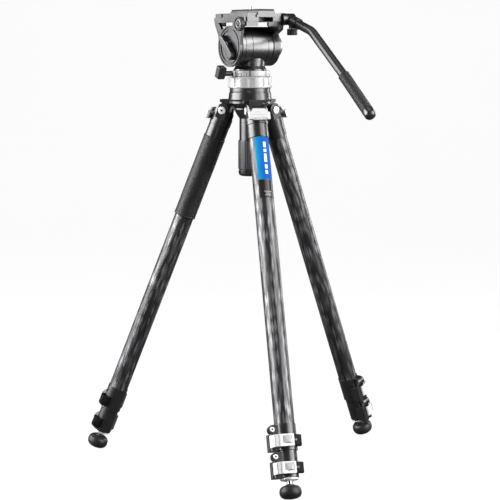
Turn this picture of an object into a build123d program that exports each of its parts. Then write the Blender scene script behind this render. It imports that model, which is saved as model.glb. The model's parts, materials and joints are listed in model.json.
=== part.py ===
from build123d import *
import os
from math import cos, hypot, radians, sin

# Tripod with a fluid head. Millimetres, +Z up, origin on the column axis at the floor.
# +Y is the way the lens points, -Y is the operator's side, the tilt axis runs along X.

# Heights of the column and the head are measured from a datum just above the floor.
COLUMN_DATUM = 3.0

# ---- driving dimensions: legs ----
LEG_AZIMUTHS = {"near": -110.0, "right": 10.0, "left": 130.0}
LEG_SPREAD = 22.1
HINGE_RADIUS = 43.2
HINGE_HEIGHT = 584.0
UPPER_TUBE_R = 16.0
MIDDLE_TUBE_R = 14.0
LOWER_TUBE_R = 12.0
TUBE_WALL = 1.8
LOWER_TUBE_WALL = 1.5
RUNNING_GAP = 0.05

# stations along a leg, measured from its hinge towards the foot
CROWN_END = 25.0
LEG_COLLAR_END = 48.0
SLEEVE_END = 191.0
UPPER_LOCK = (515.0, 556.1)
LOWER_LOCK = (557.3, 597.9)
MIDDLE_TUBE_TOP = 60.0
LOWER_TUBE_TOP = 80.0
FERRULE = (598.2, 601.5)
FOOT_TOP = 609.6
FOOT_BOTTOM = 629.8
LOCK_SEAT = 15.0
LOCK_FLANGE = 4.6

CROWN_R = 18.0
EAR_INNER = 10.6
EAR_OUTER = 16.0
EAR_R = 11.5
TONGUE_HALF_WIDTH = 10.5
TONGUE_R = 9.5
HINGE_PIN_R = 3.0
LATCH_HALF_WIDTH = 17.5
LATCH_PLATE_Z = (-21.5, -8.5)
LATCH_TOP = -2.5
SHOULDER_R = 49.0
LEG_COLLAR_R = 17.3
SLEEVE_R = 18.25
UPPER_LOCK_R = 17.1
LOWER_LOCK_R = 15.3
FOOT_R = 17.0
FOOT_EDGE = 8.0
FOOT_SHOULDER = 6.0
FOOT_STUD_R = 4.0
FERRULE_R = 14.2
LEVER_PIN_R = 2.0
LEVER_EYE_R = 5.2
HINGE_LUG_Y = -12.0

# ---- driving dimensions: levelling base ----
BALL_CENTRE = 617.5
BALL_R = 33.5
LINER_INNER_R = 31.0
LINER_ANGLE = 40.0
BALL_STEP_ANGLE = 52.0
BOWL_OUTER_R = 39.0
BOWL_RIM_R = 34.6
BOWL_RIM = 613.5
BOWL_OPENING_R = 17.0
SPIDER_TOP = 602.5
SPIDER_BOTTOM = 588.0
BALL_TOP = 621.0
CLAMP_SCREW_R = 5.0
CUP_TOP = 588.0
CUP_TOP_R = 26.5
CUP_BOTTOM = 571.0
HANDLE_TUBE_R = 17.5
HANDLE_JOINT = 562.0
GRIP_TOP = 535.0
GRIP_BOTTOM = 476.0
GRIP_R = 19.0

# ---- driving dimensions: pan base and head ----
SCALLOP_RING = (621.3, 639.5)
SCALLOP_R = 36.5
SCALLOPS = 9
PAN_RING = (639.8, 649.5)
PAN_RING_R = 33.0
PAN_SPINDLE_R = 10.0
PAN_KNOB_HEIGHT = 645.0
PAN_KNOB_REACH = (50.0, 64.0)
PAN_KNOB_SLANT = 22.0
NECK_BOTTOM = 649.8
NECK_R = 27.0
NECK_WAIST = 657.0
NECK_WAIST_R = 24.0
NECK_TOP = 673.0
TILT_HEIGHT = 689.0
DRUM_R = 32.0
DRUM_ENDS = (-34.0, 26.0)
HUB_ENDS = (26.4, 40.0)
AXLE_R = 6.0
SIDE_PLATE = (-41.0, -36.0)
SIDE_PLATE_R = 33.5
PLATFORM_X = (-36.0, 37.0)
PLATFORM_Y = (-47.5, 49.0)
PLATFORM_Z = (729.0, 736.0)
RAIL_TOP = 742.5
REAR_BLOCK_Y = (-44.0, -38.0)
FRONT_BLOCK_Y = (38.0, 44.0)
BLOCK_BOTTOM = 721.6
PLATE_HALF_WIDTH = 19.0
PLATE_TOP_HALF_WIDTH = 16.4
PLATE_Y = (-50.0, 34.0)
JAW_Y = (-47.5, 27.0)
CHANNEL_HALF_WIDTH = 14.0
CHANNEL_Y = (-60.0, -27.0)
PLATE_Z = (736.2, 746.0)
PAD_TOP = 749.0
CAMERA_SCREW_R = 3.175
CAMERA_SCREW_TOP = 754.0
CAMERA_SCREW_Y = -4.0
PLATE_KNOB_R = 11.5
PLATE_KNOB_X = (-49.0, -41.4)
PLATE_KNOB_Y = -38.8
PLATE_KNOB_Z = 722.0
DRAG_KNOB_R = 17.0
DRAG_KNOB_END = 54.0

# ---- driving dimensions: pan arm ----
ARM_X = 47.6
ARM_PIVOT = (-44.0, 733.0)
ARM_BEND = (-108.6, 713.0)
ARM_GRIP_START = (-196.0, 644.0)
ARM_GRIP_END = (-264.0, 586.0)
ARM_TUBE_R = 7.25
ARM_PIN_R = 3.0
ARM_KNOB = (707.0, 717.4)
ARM_GRIP_R = 9.3
ARM_KNOB_R = 8.4
ARM_KNOB_GROOVES = 12
ARM_KNOB_OFFSET = 9.0


def cylinder(radius, low, high):
    return Pos(0, 0, (low + high) / 2) * Cylinder(radius, high - low)


def tube(outer, inner, low, high):
    return cylinder(outer, low, high) - cylinder(inner, low - 1, high + 1)


def block(x, y, z):
    size = [b - a for a, b in (x, y, z)]
    centre = [(a + b) / 2 for a, b in (x, y, z)]
    return Pos(*centre) * Box(*size)


def x_cylinder(radius, low, high, y=0.0, z=0.0):
    return Pos((low + high) / 2, y, z) * Rot(0, 90, 0) * Cylinder(radius, high - low)


def y_cylinder(radius, low, high, x=0.0, z=0.0):
    return Pos(x, (low + high) / 2, z) * Rot(90, 0, 0) * Cylinder(radius, high - low)


def turned(points):
    """A solid of revolution about Z from (radius, height) points."""
    outline = Polyline(*[(r, 0, z) for r, z in points], close=True)
    return revolve(make_face(outline), axis=Axis.Z)


def side_profile(points, x):
    """A plate across X whose outline is given as (y, z) points."""
    low, high = x
    outline = Polyline(*[(low, y, z) for y, z in points], close=True)
    return extrude(make_face(outline), amount=high - low, dir=(1, 0, 0))


def round_edges(part, edges, radius):
    """The part with the edges rounded, or unchanged where the kernel can't round them."""
    try:
        return fillet(edges, radius)
    except Exception:
        return part


def rounded_ends(part, radius):
    """The part with its outermost round rims softened."""
    rims = part.edges().filter_by(GeomType.CIRCLE).group_by(SortBy.RADIUS)[-1]
    return round_edges(part, rims, radius)


def leg_place(name):
    """Leg frame to row frame: local -Z runs down the leg, local +X points outward."""
    turn = Location((0, 0, 0), (0, 0, LEG_AZIMUTHS[name]))
    hinge = Location((HINGE_RADIUS, 0, HINGE_HEIGHT + COLUMN_DATUM))
    lean = Location((0, 0, 0), (0, -LEG_SPREAD, 0))
    return turn * hinge * lean


# ---- leg pieces, each in the leg frame ----
def leg_crown():
    body = cylinder(CROWN_R, -CROWN_END, EAR_R)
    ear_shape = y_cylinder(EAR_R, -CROWN_R, CROWN_R)
    ear_shape += block((-CROWN_R, CROWN_R), (-CROWN_R, CROWN_R), (-CROWN_END, -12.0))
    wedge = Polyline((-EAR_R, 0, 0), (EAR_R, 0, 0), (CROWN_R, 0, -12.0), (-CROWN_R, 0, -12.0), close=True)
    ear_shape += extrude(make_face(wedge), amount=CROWN_R, both=True)
    crown = body & ear_shape
    flat_sides = block((-30, 30), (-EAR_OUTER, EAR_OUTER), (-14.0, 20))
    crown &= flat_sides + cylinder(CROWN_R, -CROWN_END, -14.0)
    crown -= block((-30, 30), (-EAR_INNER, EAR_INNER), (-12.5, 30))
    crown -= y_cylinder(HINGE_PIN_R + RUNNING_GAP, -30, 30)
    crown += cylinder(UPPER_TUBE_R - TUBE_WALL, -CROWN_END - 20, -CROWN_END + 0.5)
    return crown


def angle_latch():
    """The sliding stop: a stepped finger plate outside the crown, with a finger reaching in between the ears."""
    inside = CROWN_R + 0.2
    half = LATCH_HALF_WIDTH
    low, high = LATCH_PLATE_Z
    plate = block((inside, inside + 4.6), (-half, half), (low, high))
    plate = round_edges(plate, plate.edges().filter_by(Axis.X), 1.6)
    plate = round_edges(plate, plate.faces().sort_by(Axis.X)[-1].edges(), 0.8)
    for depth, step in ((0.7, 3.6), (1.4, 1.9)):
        plate -= block((inside + 4.6 - depth, inside + 6), (-half + 7.0, half - 5.0), (low - 1, low + step))
    brow = Polyline((inside, -half + 3.0, high - 1), (inside, half - 3.0, high - 1), (inside, half - 7.5, LATCH_TOP),
                    (inside, -half + 7.5, LATCH_TOP), close=True)
    brow = extrude(make_face(brow), amount=2.6, dir=(1, 0, 0))
    finger = block((CROWN_R - 5.0, inside + 0.5), (-9.8, 9.8), (-12.2, -8.0))
    return plate + brow + finger


def leg_collar():
    ring = tube(LEG_COLLAR_R, UPPER_TUBE_R, -LEG_COLLAR_END, -CROWN_END - 0.4)
    return rounded_ends(ring, 0.5)


def upper_tube():
    inner = UPPER_TUBE_R - TUBE_WALL
    return tube(UPPER_TUBE_R, inner, -UPPER_LOCK[0] - LOCK_SEAT, -CROWN_END)


def middle_tube():
    inner = MIDDLE_TUBE_R - TUBE_WALL
    return tube(MIDDLE_TUBE_R, inner, -LOWER_LOCK[0] - LOCK_SEAT, -MIDDLE_TUBE_TOP)


def lower_tube():
    inner = LOWER_TUBE_R - LOWER_TUBE_WALL
    return tube(LOWER_TUBE_R, inner, -FERRULE[0], -LOWER_TUBE_TOP)


def lever_pivot(collar_r):
    return 5.0, -(collar_r + 4.5)


def lock_collar(span, collar_r, held_r, sliding_r):
    """A split clamp collar with a bolt lug and a housing for the lever's hinge pin."""
    top, bottom = -span[0], -span[1]
    seat = top - LOCK_SEAT
    px, py = lever_pivot(collar_r)
    lug_end = py - LEVER_EYE_R - 1.5
    collar = cylinder(collar_r, bottom, top)
    bolt_lug = block((-3.0, 11.0), (lug_end, -8.0), (seat + 0.2, top - 1.2))
    bolt_lug = round_edges(bolt_lug, bolt_lug.edges().filter_by(Axis.X).group_by(Axis.Y)[0], 6.4)
    collar += bolt_lug
    for z in ((seat - 2.3, seat + 0.2), (bottom, bottom + LOCK_FLANGE)):
        collar += Pos(px, py, 0) * cylinder(LEVER_EYE_R, *z)
        collar += block((HINGE_LUG_Y, px + LEVER_EYE_R), (py, -5.0), z)
    housing = block((HINGE_LUG_Y, px - LEVER_EYE_R - 0.4), (lug_end, -8.0), (bottom, seat + 0.2))
    housing = round_edges(housing, housing.edges().filter_by(Axis.Z).group_by(Axis.Y)[0], 2.0)
    collar += housing
    collar += Pos(px, py, 0) * cylinder(LEVER_PIN_R, bottom, seat)
    collar -= cylinder(held_r, seat, top + 1)
    collar -= cylinder(sliding_r, bottom - 1, top + 1)
    collar -= block((4.5, 6.0), (lug_end - 1, -6.0), (seat - 0.5, top + 1))
    bolt_y, bolt_z = py - 1.0, top - 8.2
    collar -= x_cylinder(4.9, 8.6, 12.0, bolt_y, bolt_z)
    collar -= x_cylinder(2.2, -2.0, 10.0, bolt_y, bolt_z)
    bolt = x_cylinder(4.0, 8.6, 11.4, bolt_y, bolt_z)
    bolt -= x_cylinder(1.8, 9.8, 12.0, bolt_y, bolt_z)
    bolt += x_cylinder(2.1, 0.5, 9.0, bolt_y, bolt_z)
    return collar, bolt


def lock_lever(span, collar_r):
    """The flip lever: an eye on the hinge pin, a flat face over the collar, and a thumb tab beyond it."""
    bottom = -span[1] + LOCK_FLANGE + 0.3
    top = -span[0] - LOCK_SEAT - 2.6
    px, py = lever_pivot(collar_r)
    face_x = collar_r + 5.0
    outline = Polyline((px, py - LEVER_EYE_R, bottom), (face_x - 3.0, py - 1.0, bottom), (face_x, -13.0, bottom),
                       (face_x, 8.0, bottom), (collar_r - 2.0, 8.0, bottom), (px + 5.0, -8.0, bottom),
                       (px, py + LEVER_EYE_R, bottom), close=True)
    lever = extrude(make_face(outline), amount=top - bottom, dir=(0, 0, 1))
    lever += Pos(px, py, 0) * cylinder(LEVER_EYE_R, bottom, top)
    recess = block((face_x - 0.9, face_x + 1), (-10.0, 5.0), (bottom + 3.6, top - 1.8))
    recess = round_edges(recess, recess.edges().filter_by(Axis.X), 1.2)
    lever -= recess
    tab = Polyline((face_x - 2.2, 7.0, bottom + 1.2), (face_x - 2.6, 13.5, bottom + 1.2),
                   (face_x - 9.0, 21.0, bottom + 1.2), (2.5, 21.5, bottom + 1.2), (2.5, 14.0, bottom + 1.2),
                   (10.0, 7.0, bottom + 1.2), close=True)
    lever += extrude(make_face(tab), amount=top - bottom - 2.4, dir=(0, 0, 1))
    lever -= cylinder(collar_r + 0.5, bottom - 1, top + 1)
    return lever - Pos(px, py, 0) * cylinder(LEVER_PIN_R + RUNNING_GAP, bottom - 1, top + 1)


def foot(place):
    """The rubber puck, its stud and the tube's end ferrule; the contact patch is cut flat at the floor."""
    puck = cylinder(FOOT_R, -FOOT_BOTTOM, -FOOT_TOP)
    rims = puck.edges().filter_by(GeomType.CIRCLE)
    puck = fillet(rims.sort_by(Axis.Z)[0], FOOT_EDGE)
    puck = fillet(puck.edges().filter_by(GeomType.CIRCLE).sort_by(Axis.Z)[-1], FOOT_SHOULDER)
    stud = cylinder(FOOT_STUD_R, -FOOT_TOP - 4.0, -LOWER_LOCK[1])
    stud += cylinder(FERRULE_R, -FERRULE[1], -FERRULE[0])
    plug = cylinder(LOWER_TUBE_R - LOWER_TUBE_WALL, -FERRULE[0] - 1.0, -FERRULE[0] + 12.0)
    whole = place * (puck + stud + plug)
    floor = block((-400, 400), (-400, 400), (-30, 0))
    return whole - floor


def rubber_sleeve():
    sleeve = tube(SLEEVE_R, UPPER_TUBE_R, -SLEEVE_END, -LEG_COLLAR_END - 0.3)
    return rounded_ends(sleeve, 0.8)


def leg_nodes(name):
    place = leg_place(name)
    upper_collar = lock_collar(UPPER_LOCK, UPPER_LOCK_R, UPPER_TUBE_R, MIDDLE_TUBE_R + RUNNING_GAP)
    lower_collar = lock_collar(LOWER_LOCK, LOWER_LOCK_R, MIDDLE_TUBE_R, LOWER_TUBE_R + RUNNING_GAP)
    nodes = {
        "leg_crown": leg_crown(),
        "angle_latch": angle_latch(),
        "leg_collar": leg_collar(),
        "upper_tube": upper_tube(),
        "upper_lock": Compound(list(upper_collar)),
        "upper_lever": lock_lever(UPPER_LOCK, UPPER_LOCK_R),
        "middle_tube": middle_tube(),
        "lower_lock": Compound(list(lower_collar)),
        "lower_lever": lock_lever(LOWER_LOCK, LOWER_LOCK_R),
        "lower_tube": lower_tube(),
    }
    placed = {f"{piece}_{name}": place * shape for piece, shape in nodes.items()}
    placed[f"foot_{name}"] = foot(place)
    if name == "left":
        placed["leg_sleeve"] = place * rubber_sleeve()
    return placed


# ---- spider and levelling base ----
def spider_arm():
    """One arm of the spider along +X: a tongue with the hinge barrel and a stop shoulder."""
    half = TONGUE_HALF_WIDTH
    arm = block((BOWL_RIM_R - 4, SHOULDER_R), (-half, half), (SPIDER_TOP - 5.0, SPIDER_TOP))
    arm += Pos(HINGE_RADIUS, 0, HINGE_HEIGHT) * y_cylinder(TONGUE_R, -half, half)
    web = block((BOWL_RIM_R - 2, HINGE_RADIUS + 3.0), (-half, half), (HINGE_HEIGHT + 2, SPIDER_TOP - 4))
    arm += web
    arm += block((22.0, HINGE_RADIUS - 6.0), (-19.0, 19.0), (SPIDER_BOTTOM + 9.0, SPIDER_TOP))
    return arm


def spider():
    body = turned([(0, SPIDER_TOP), (BOWL_RIM_R + 1.2, SPIDER_TOP), (BOWL_RIM_R, BOWL_RIM), (0, BOWL_RIM)])
    body += cylinder(BOWL_RIM_R, SPIDER_BOTTOM + 7.0, SPIDER_TOP)
    body += (Pos(0, 0, BALL_CENTRE) * Sphere(BOWL_OUTER_R)) & cylinder(BOWL_OUTER_R, 570, SPIDER_TOP)
    for azimuth in LEG_AZIMUTHS.values():
        body += Rot(0, 0, azimuth) * spider_arm()
    swing = Pos(0, 0, BALL_CENTRE) * (Sphere(BOWL_OUTER_R + 4.0) - Sphere(BOWL_OUTER_R))
    body -= swing & cylinder(60, 560, SPIDER_BOTTOM + 8.0)
    body -= Pos(0, 0, BALL_CENTRE) * Sphere(BALL_R + RUNNING_GAP)
    body -= cylinder(BOWL_OPENING_R, 560, 600)
    for azimuth in LEG_AZIMUTHS.values():
        bore = y_cylinder(HINGE_PIN_R, -30, 30)
        body -= Rot(0, 0, azimuth) * Pos(HINGE_RADIUS, 0, HINGE_HEIGHT) * bore
    return body


def hinge_pins():
    shaft = y_cylinder(HINGE_PIN_R, -EAR_OUTER - 0.1, EAR_OUTER + 0.1)
    for side in (-1, 1):
        ends = sorted((side * (EAR_OUTER + 0.1), side * (EAR_OUTER + 2.0)))
        head = y_cylinder(5.5, *ends)
        socket = y_cylinder(2.2, *sorted((side * (EAR_OUTER + 0.8), side * 20)))
        shaft += head - socket
    pins = [Rot(0, 0, a) * Pos(HINGE_RADIUS, 0, HINGE_HEIGHT) * shaft for a in LEG_AZIMUTHS.values()]
    return Compound(pins)


def spherical_cap(outer, inner, angle, opening):
    """The shell between two spheres about the ball centre, below a cone, with a round opening."""
    shell = Sphere(outer) - Sphere(inner)
    rim = outer * 1.5
    cone = turned([(0, 0), (rim * sin(radians(angle)), -rim * cos(radians(angle))), (0, -rim)])
    return Pos(0, 0, BALL_CENTRE) * (shell & cone) - cylinder(opening, 560, 610)


def friction_liner():
    return spherical_cap(BALL_R, LINER_INNER_R, LINER_ANGLE, BOWL_OPENING_R)


def half_ball():
    ball = Pos(0, 0, BALL_CENTRE) * Sphere(BALL_R)
    ball -= spherical_cap(BALL_R + 1, LINER_INNER_R - RUNNING_GAP, BALL_STEP_ANGLE, 0.5)
    ball &= cylinder(BALL_R + 5, 590, BALL_TOP)
    ball -= cylinder(CLAMP_SCREW_R, 580, 630)
    ball -= cylinder(PAN_SPINDLE_R + 4, BALL_TOP - 8, BALL_TOP + 5)
    return ball


def clamp_screw():
    screw = cylinder(CLAMP_SCREW_R, HANDLE_JOINT - 10, BALL_TOP - 8)
    return screw + cylinder(CLAMP_SCREW_R + 4, BALL_TOP - 8, BALL_TOP - 3)


def clamp_cup():
    cup = turned([(0, CUP_TOP), (CUP_TOP_R, CUP_TOP), (CUP_TOP_R, CUP_TOP - 2), (21.5, CUP_BOTTOM + 6),
                  (HANDLE_TUBE_R, CUP_BOTTOM), (HANDLE_TUBE_R, HANDLE_JOINT + 0.3), (0, HANDLE_JOINT + 0.3)])
    cup -= Pos(0, 0, BALL_CENTRE) * Sphere(BOWL_OUTER_R + RUNNING_GAP)
    return cup - cylinder(CLAMP_SCREW_R + 0.2, 550, 600)


def level_handle():
    grip = turned([(0, HANDLE_JOINT), (HANDLE_TUBE_R, HANDLE_JOINT), (HANDLE_TUBE_R, GRIP_TOP), (GRIP_R, GRIP_TOP),
                   (GRIP_R, GRIP_BOTTOM + 12), (GRIP_R - 1, GRIP_BOTTOM + 11), (GRIP_R - 1, GRIP_BOTTOM + 9),
                   (GRIP_R, GRIP_BOTTOM + 8), (GRIP_R, GRIP_BOTTOM), (0, GRIP_BOTTOM)])
    grip = round_edges(grip, grip.faces().sort_by(Axis.Z)[0].edges(), 6.0)
    return grip - cylinder(CLAMP_SCREW_R + RUNNING_GAP, HANDLE_JOINT - 12, HANDLE_JOINT + 1)


def scallop_ring():
    low, high = SCALLOP_RING
    ring = cylinder(SCALLOP_R, low, high)
    ring = round_edges(ring, ring.edges().filter_by(GeomType.CIRCLE), 1.5)
    for i in range(SCALLOPS):
        notch = Pos(SCALLOP_R + 17.6, 0, 0) * cylinder(19.0, low + 2.2, high - 2.2)
        ring -= Rot(0, 0, 360.0 / SCALLOPS * i) * notch
    return ring - cylinder(PAN_SPINDLE_R + 12, low - 1, high + 1)


def pan_spindle():
    flange = cylinder(PAN_SPINDLE_R + 11.8, SCALLOP_RING[0], SCALLOP_RING[1])
    shaft = cylinder(PAN_SPINDLE_R, SCALLOP_RING[0], NECK_BOTTOM + 8)
    return flange + shaft - cylinder(3.0, SCALLOP_RING[0] - 1, NECK_BOTTOM + 9)


def pan_clamp_ring():
    low, high = PAN_RING
    ring = cylinder(PAN_RING_R, low, high)
    ring = round_edges(ring, ring.edges().filter_by(GeomType.CIRCLE), 0.8)
    ring += block((-PAN_RING_R - 3.0, -PAN_RING_R + 3.0), (-6.0, 6.0), (low + 0.5, high - 0.5))
    ring -= cylinder(PAN_SPINDLE_R, low - 1, high + 1)
    slit = block((-1.0, 1.0), (-40, -PAN_SPINDLE_R - 4), (low - 1, high + 1))
    ring -= Rot(0, 0, -33) * slit
    return ring - x_cylinder(3.0, -40, -PAN_RING_R + 2.0, 0, PAN_KNOB_HEIGHT)


def pan_knob():
    low, high = PAN_KNOB_REACH
    stem = x_cylinder(3.0 - RUNNING_GAP, -low - 1, -PAN_RING_R + 1.0, 0, PAN_KNOB_HEIGHT)
    stem += x_cylinder(4.2, -low - 1, -PAN_RING_R - 4.5, 0, PAN_KNOB_HEIGHT)
    wing = block((-high, -low), (-5.0, 5.0), (PAN_KNOB_HEIGHT - 8.5, PAN_KNOB_HEIGHT + 12.5))
    wing = round_edges(wing, wing.edges().filter_by(Axis.Y), 3.0)
    wing = round_edges(wing, wing.faces().sort_by(Axis.Y)[0].edges(), 1.0)
    axis_height = Pos(0, 0, PAN_KNOB_HEIGHT)
    return stem + axis_height * Rot(PAN_KNOB_SLANT, 0, 0) * axis_height.inverse() * wing


# ---- head ----
def head_body():
    neck = turned([(0, NECK_BOTTOM), (NECK_R, NECK_BOTTOM), (NECK_R, NECK_BOTTOM + 2), (NECK_WAIST_R, NECK_WAIST),
                   (NECK_R - 1, NECK_TOP), (0, NECK_TOP)])
    left, right = DRUM_ENDS
    drum = x_cylinder(DRUM_R, left, right, 0, TILT_HEIGHT)
    drum = round_edges(drum, drum.edges().filter_by(GeomType.CIRCLE), 1.0)
    for x in (-27.0, -14.0, 16.0):
        groove = x_cylinder(DRUM_R + 2, x - 0.5, x + 0.5, 0, TILT_HEIGHT)
        drum -= groove - x_cylinder(DRUM_R - 0.8, x - 1, x + 1, 0, TILT_HEIGHT)
    body = neck + drum
    body -= x_cylinder(AXLE_R + RUNNING_GAP, left - 1, right + 1, 0, TILT_HEIGHT)
    return body - cylinder(PAN_SPINDLE_R + RUNNING_GAP, NECK_BOTTOM - 1, NECK_BOTTOM + 8.5)


def tilt_axle():
    return x_cylinder(AXLE_R, SIDE_PLATE[0] + 1.0, HUB_ENDS[1], 0, TILT_HEIGHT)


def side_plate():
    """The left cheek: a round hub that widens towards the platform, with a raised rim."""
    cheek = x_cylinder(SIDE_PLATE_R, *SIDE_PLATE, 0, TILT_HEIGHT)
    spread = [(-SIDE_PLATE_R + 0.5, TILT_HEIGHT), (-38.0, 716.0), (-45.0, 729.5), (45.0, 729.5), (42.0, 722.0),
              (SIDE_PLATE_R - 1.5, 705.0), (SIDE_PLATE_R - 0.5, TILT_HEIGHT)]
    cheek += side_profile(spread, SIDE_PLATE)
    window = [(32.0, 727.5), (21.0, 714.0), (-9.0, 714.0), (-11.0, 727.5)]
    opening = side_profile(window, (SIDE_PLATE[0] - 1, SIDE_PLATE[1] + 1))
    cheek -= opening - x_cylinder(SIDE_PLATE_R, -60, 60, 0, TILT_HEIGHT)
    for outer, inner in ((SIDE_PLATE_R - 2.5, SIDE_PLATE_R - 5.0), (SIDE_PLATE_R - 7.5, 9.0)):
        ring = x_cylinder(outer, SIDE_PLATE[0] - 1, SIDE_PLATE[0] + 1.8, 0, TILT_HEIGHT)
        cheek -= ring - x_cylinder(inner, SIDE_PLATE[0] - 2, SIDE_PLATE[0] + 3, 0, TILT_HEIGHT)
    return cheek


def tilt_cradle():
    platform = block(PLATFORM_X, PLATFORM_Y, PLATFORM_Z)
    platform += block((SIDE_PLATE[0], PLATFORM_X[0] + 1), (-45.0, 45.0), (PLATFORM_Z[0], PLATFORM_Z[1]))
    platform += side_rail(PLATE_HALF_WIDTH, PLATFORM_X[1], PLATFORM_Y)
    for x, y in (((-35.0, -13.0), REAR_BLOCK_Y), ((8.0, 36.0), REAR_BLOCK_Y), ((-35.0, -22.0), FRONT_BLOCK_Y)):
        platform += block(x, y, (BLOCK_BOTTOM, PLATFORM_Z[0] + 1))
    end_block_x = (PLATFORM_X[0], -PLATE_HALF_WIDTH - 1.0)
    end_block_y = (JAW_Y[1] + 4.0, PLATFORM_Y[1])
    platform += block(end_block_x, end_block_y, (PLATFORM_Z[1] - 1, RAIL_TOP))
    channel_z = (PLATFORM_Z[0] - 1, PLATFORM_Z[1] + 1)
    platform -= block((-CHANNEL_HALF_WIDTH, CHANNEL_HALF_WIDTH), CHANNEL_Y, channel_z)
    platform -= Pos(10, PLATFORM_Y[1], 0) * cylinder(4.0, 700, 760)
    hub = x_cylinder(DRUM_R, *HUB_ENDS, 0, TILT_HEIGHT)
    hub = round_edges(hub, hub.edges().filter_by(GeomType.CIRCLE), 1.0)
    brace = [(-26.0, TILT_HEIGHT + 18), (-43.0, 716.0), (-46.0, 730.0), (-15.0, 730.0), (-8.0, TILT_HEIGHT + 24)]
    hub += side_profile(brace, (HUB_ENDS[0] + 1.0, PLATFORM_X[1] - 0.5))
    boss = x_cylinder(10.0, PLATFORM_X[1] - 6, PLATFORM_X[1] + 1.0, *ARM_PIVOT)
    cradle = platform + side_plate() + hub + boss
    cradle -= x_cylinder(AXLE_R, -60, 60, 0, TILT_HEIGHT)
    cradle -= x_cylinder(ARM_PIN_R, PLATFORM_X[1] - 7, PLATFORM_X[1] + 5, *ARM_PIVOT)
    knob_bore = x_cylinder(3.0 + RUNNING_GAP, -50, -20, PLATE_KNOB_Y, PLATE_KNOB_Z + 3.0)
    return cradle - knob_bore


def side_rail(inner, outer, y):
    """A dovetail rail on the right of the plate, between two stations along Y."""
    outline = [(inner + 0.3, PLATFORM_Z[1] - 0.1), (outer, PLATFORM_Z[1] - 0.1), (outer, RAIL_TOP),
               (inner - 1.2, RAIL_TOP), (inner - 1.2, RAIL_TOP - 1.2), (inner + 0.3, RAIL_TOP - 3.2)]
    face = make_face(Polyline(*[(x, y[0], z) for x, z in outline], close=True))
    return extrude(face, amount=y[1] - y[0], dir=(0, 1, 0))


def plate_jaw():
    """The moving rail: the fixed one mirrored, a sliding gap above the platform."""
    rail = side_rail(PLATE_HALF_WIDTH, -PLATFORM_X[0] - 0.5, JAW_Y)
    return Pos(0, 0, PLATE_Z[0] - PLATFORM_Z[1]) * mirror(rail, about=Plane.YZ)


def quick_plate():
    half = PLATE_HALF_WIDTH
    low, high = PLATE_Z
    waist = RAIL_TOP - 1.2
    top = PLATE_TOP_HALF_WIDTH
    outline = [(-half, low), (half, low), (half, RAIL_TOP - 3.4), (top, waist), (top, high),
               (-top, high), (-top, waist), (-half, RAIL_TOP - 3.4)]
    face = make_face(Polyline(*[(x, PLATE_Y[0], z) for x, z in outline], close=True))
    plate = extrude(face, amount=PLATE_Y[1] - PLATE_Y[0], dir=(0, 1, 0))
    slot = block((-3.4, 3.4), (-20.0, 12.0), (low - 1, high + 1))
    slot = round_edges(slot, slot.edges().filter_by(Axis.Z), 3.3)
    plate -= slot
    recess = block((-8.5, 8.5), (-25.0, 17.0), (low - 1, low + 5.0))
    return plate - recess


def plate_pad():
    half = PLATE_TOP_HALF_WIDTH - 0.8
    pad = block((-half, half), (PLATE_Y[0] + 2, PLATE_Y[1] - 2), (PLATE_Z[1], PAD_TOP))
    pad = round_edges(pad, pad.edges().filter_by(Axis.Z), 3.0)
    slot = block((-3.4, 3.4), (-20.0, 12.0), (PLATE_Z[1] - 1, PAD_TOP + 1))
    return pad - round_edges(slot, slot.edges().filter_by(Axis.Z), 3.3)


def camera_screw():
    """A captive screw: the shank under the thread is thinner than the thread."""
    screw = cylinder(CAMERA_SCREW_R, PAD_TOP + 0.2, CAMERA_SCREW_TOP)
    screw = round_edges(screw, screw.faces().sort_by(Axis.Z)[-1].edges(), 0.5)
    screw += cylinder(2.6, PLATE_Z[0] + 3.0, PAD_TOP + 0.3)
    screw += cylinder(7.0, PLATE_Z[0] + 0.8, PLATE_Z[0] + 4.8)
    screw -= block((-8, 8), (-0.8, 0.8), (PLATE_Z[0], PLATE_Z[0] + 2.0))
    return Pos(0, CAMERA_SCREW_Y, 0) * screw


def plate_knob():
    y, z = PLATE_KNOB_Y, PLATE_KNOB_Z + 3.0
    face, back = PLATE_KNOB_X
    knob = x_cylinder(PLATE_KNOB_R, face, back, y, z)
    knob = round_edges(knob, knob.edges().filter_by(GeomType.CIRCLE), 1.0)
    knob -= x_cylinder(PLATE_KNOB_R - 2.5, face - 1, face + 1.2, y, z) - x_cylinder(4.5, face - 2, face + 2, y, z)
    for i in range(18):
        groove = Rot(i * 20.0, 0, 0) * Pos(0, 0, PLATE_KNOB_R + 0.5) * x_cylinder(1.0, face + 1.5, back - 1.1)
        knob -= Pos(0, y, z) * groove
    return knob + x_cylinder(3.0, -42.0, -24.0, y, z)


def tilt_lever():
    """The tilt lock: a hub on the axle line with two wings lying at a slant."""
    x = (SIDE_PLATE[0] - 9.0, SIDE_PLATE[0] - 0.3)
    hub = x_cylinder(8.0, SIDE_PLATE[0] - 7.0, SIDE_PLATE[0] - 0.2, 0, TILT_HEIGHT)
    wing = [(-26.0, -5.0), (-20.0, -8.5), (-6.0, -6.0), (8.0, -6.0), (22.0, -4.0), (25.0, 0.0), (22.0, 4.0),
            (8.0, 6.0), (-6.0, 6.0), (-20.0, 6.0), (-26.0, 3.0)]
    bar = side_profile(wing, x)
    bar = round_edges(bar, bar.faces().sort_by(Axis.X)[0].edges(), 1.5)
    return hub + Pos(0, 0, TILT_HEIGHT) * Rot(45, 0, 0) * bar


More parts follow.
